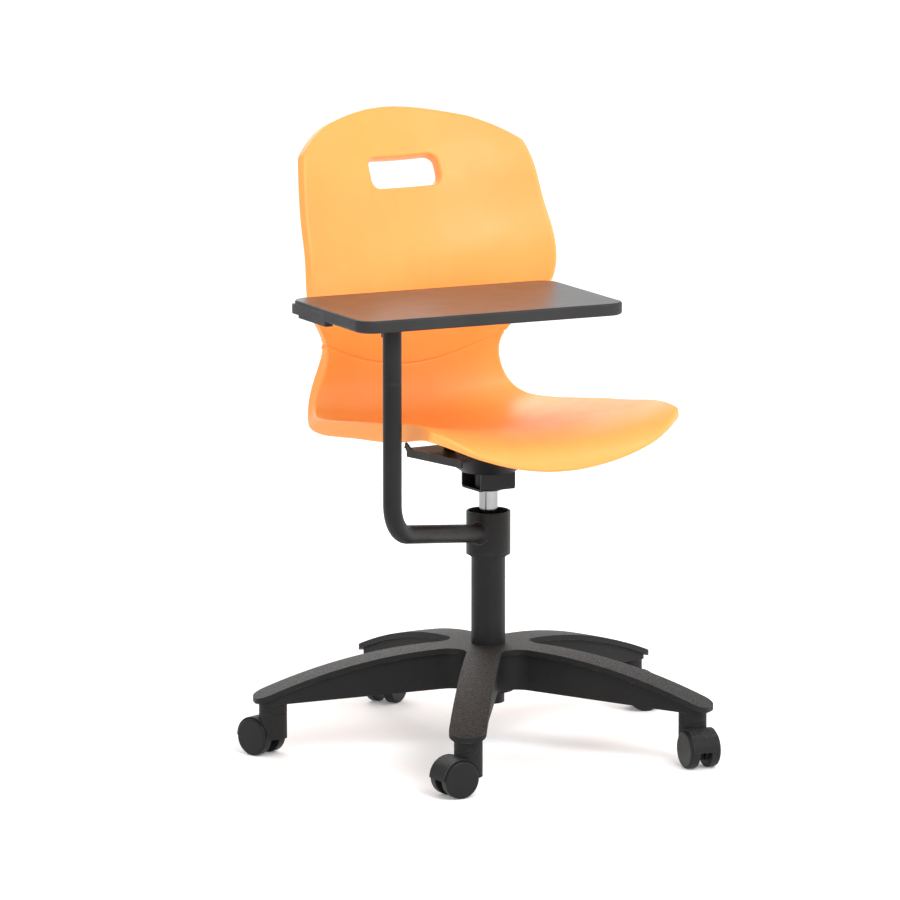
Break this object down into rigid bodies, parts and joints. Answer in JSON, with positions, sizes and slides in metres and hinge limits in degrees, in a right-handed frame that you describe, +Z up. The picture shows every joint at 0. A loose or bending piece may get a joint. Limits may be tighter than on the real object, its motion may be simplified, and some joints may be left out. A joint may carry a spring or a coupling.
{
  "type": "student desk chair",
  "caption": "Swivel student chair with a one-piece curved shell, a star base on twin-wheel casters and a writing tablet on a swinging arm.",
  "frame": {"origin": "on the floor, on the column's axis", "axes": "+Z up, the sitter faces -Y, the tablet is on the sitter's right at -X"},
  "size_m": [0.7063, 0.6809, 0.912],
  "materials": {
    "orange_shell": "satin moulded polypropylene",
    "black_nylon": "fine grained glass-filled nylon",
    "black_steel": "satin black powder coat",
    "bare_steel": "zinc plated",
    "chrome": "polished chrome",
    "bush_plastic": "moulded acetal",
    "tablet_laminate": "satin laminate",
    "tablet_edge": "fine grained edge",
    "wheel_plastic": "smooth nylon"
  },
  "bodies": {
    "base": {"star_base": "black_nylon", "hub_sleeve": "bare_steel", "column_tube": "black_steel", "column_guide_bush": "bush_plastic", "collar_stop_ring": "black_steel", "thrust_bearing": "bare_steel", "caster_stems": "bare_steel"},
    "arm": {"arm_collar": "black_steel", "collar_bush_lower": "bush_plastic", "collar_bush_upper": "bush_plastic", "arm_tube": "black_steel", "pivot_spigot": "bare_steel", "pivot_washer": "bush_plastic"},
    "tablet": {"tablet_sleeve": "black_steel", "sleeve_bushes": "bush_plastic", "tablet_bracket": "black_steel", "sleeve_gusset": "black_steel", "tablet_board": "tablet_edge", "tablet_top": "tablet_laminate", "tablet_screws": "bare_steel", "tablet_side_rail": "tablet_edge"},
    "piston": {"piston_rod": "bare_steel", "rod_clip": "bare_steel"},
    "seat": {"gas_cylinder": "chrome", "taper_hub": "bare_steel", "seat_channel": "black_steel", "seat_dish": "black_steel", "seat_plate": "black_steel", "shell_spacers": "black_nylon", "seat_screws": "bare_steel", "seat_shell": "orange_shell", "lever_bracket": "black_steel", "lever_pin": "bare_steel"},
    "lever": {"height_lever": "black_steel"},
    "valve": {"valve_button": "bush_plastic"},
    "caster_1": {"caster_1_body": "black_nylon", "caster_1_axle": "bare_steel"},
    "caster_1_left": {"caster_1_wheel_left": "wheel_plastic"},
    "caster_1_right": {"caster_1_wheel_right": "wheel_plastic"},
    "caster_2": {"caster_2_body": "black_nylon", "caster_2_axle": "bare_steel"},
    "caster_2_left": {"caster_2_wheel_left": "wheel_plastic"},
    "caster_2_right": {"caster_2_wheel_right": "wheel_plastic"},
    "caster_3": {"caster_3_body": "black_nylon", "caster_3_axle": "bare_steel"},
    "caster_3_left": {"caster_3_wheel_left": "wheel_plastic"},
    "caster_3_right": {"caster_3_wheel_right": "wheel_plastic"},
    "caster_4": {"caster_4_body": "black_nylon", "caster_4_axle": "bare_steel"},
    "caster_4_left": {"caster_4_wheel_left": "wheel_plastic"},
    "caster_4_right": {"caster_4_wheel_right": "wheel_plastic"},
    "caster_5": {"caster_5_body": "black_nylon", "caster_5_axle": "bare_steel"},
    "caster_5_left": {"caster_5_wheel_left": "wheel_plastic"},
    "caster_5_right": {"caster_5_wheel_right": "wheel_plastic"}
  },
  "joints": [
    {"name": "arm_swing", "type": "hinge", "parent": "base", "child": "arm", "pos_m": [0, 0, 0.32], "axis": [0, 0, 1], "continuous": true},
    {"name": "tablet_swing", "type": "hinge", "parent": "arm", "child": "tablet", "pos_m": [-0.24811, -0.1482, 0.6], "axis": [0, 0, 1], "range_deg": [-95, 2]},
    {"name": "seat_swivel", "type": "hinge", "parent": "arm", "child": "piston", "pos_m": [0, 0, 0.1], "axis": [0, 0, 1], "range_deg": [-95, 10]},
    {"name": "seat_lift", "type": "slide", "parent": "piston", "child": "seat", "axis": [0, 0, 1], "range_m": [0, 0.1]},
    {"name": "lever_tilt", "type": "hinge", "parent": "seat", "child": "lever", "pos_m": [0.01751, 0.02914, 0.435], "axis": [0.8572, -0.515, 0], "range_deg": [0, 2.5], "stiffness_Nm_per_rad": 3, "springref_deg": -2.86},
    {"name": "valve_press", "type": "slide", "parent": "seat", "child": "valve", "axis": [0, 0, -1], "range_m": [0, 0.0016]},
    {"name": "caster_1_swivel", "type": "hinge", "parent": "base", "child": "caster_1", "pos_m": [0, 0.322, 0.06], "axis": [0, 0, 1], "continuous": true},
    {"name": "caster_1_left_spin", "type": "hinge", "parent": "caster_1", "child": "caster_1_left", "pos_m": [0.01968, 0.33291, 0.0275], "axis": [-0.4848, 0.8746, 0], "continuous": true},
    {"name": "caster_1_right_spin", "type": "hinge", "parent": "caster_1", "child": "caster_1_right", "pos_m": [0.01968, 0.33291, 0.0275], "axis": [-0.4848, 0.8746, 0], "continuous": true},
    {"name": "caster_2_swivel", "type": "hinge", "parent": "base", "child": "caster_2", "pos_m": [-0.30624, 0.0995, 0.06], "axis": [0, 0, 1], "continuous": true},
    {"name": "caster_2_left_spin", "type": "hinge", "parent": "caster_2", "child": "caster_2_left", "pos_m": [-0.31357, 0.12078, 0.0275], "axis": [-0.9455, -0.3256, 0], "continuous": true},
    {"name": "caster_2_right_spin", "type": "hinge", "parent": "caster_2", "child": "caster_2_right", "pos_m": [-0.31357, 0.12078, 0.0275], "axis": [-0.9455, -0.3256, 0], "continuous": true},
    {"name": "caster_3_swivel", "type": "hinge", "parent": "base", "child": "caster_3", "pos_m": [-0.18927, -0.2605, 0.06], "axis": [0, 0, 1], "continuous": true},
    {"name": "caster_3_left_spin", "type": "hinge", "parent": "caster_3", "child": "caster_3_left", "pos_m": [-0.21177, -0.2605, 0.0275], "axis": [0, -1, 0], "continuous": true},
    {"name": "caster_3_right_spin", "type": "hinge", "parent": "caster_3", "child": "caster_3_right", "pos_m": [-0.21177, -0.2605, 0.0275], "axis": [0, -1, 0], "continuous": true},
    {"name": "caster_4_swivel", "type": "hinge", "parent": "base", "child": "caster_4", "pos_m": [0.18927, -0.2605, 0.06], "axis": [0, 0, 1], "continuous": true},
    {"name": "caster_4_left_spin", "type": "hinge", "parent": "caster_4", "child": "caster_4_left", "pos_m": [0.18614, -0.28278, 0.0275], "axis": [0.9903, -0.1392, 0], "continuous": true},
    {"name": "caster_4_right_spin", "type": "hinge", "parent": "caster_4", "child": "caster_4_right", "pos_m": [0.18614, -0.28278, 0.0275], "axis": [0.9903, -0.1392, 0], "continuous": true},
    {"name": "caster_5_swivel", "type": "hinge", "parent": "base", "child": "caster_5", "pos_m": [0.30624, 0.0995, 0.06], "axis": [0, 0, 1], "continuous": true},
    {"name": "caster_5_left_spin", "type": "hinge", "parent": "caster_5", "child": "caster_5_left", "pos_m": [0.32787, 0.0933, 0.0275], "axis": [0.2756, 0.9613, 0], "continuous": true},
    {"name": "caster_5_right_spin", "type": "hinge", "parent": "caster_5", "child": "caster_5_right", "pos_m": [0.32787, 0.0933, 0.0275], "axis": [0.2756, 0.9613, 0], "continuous": true}
  ],
  "couplings": [
    {"joint": "valve_press", "follows": "lever_tilt", "m_per_rad": 0.034}
  ]
}
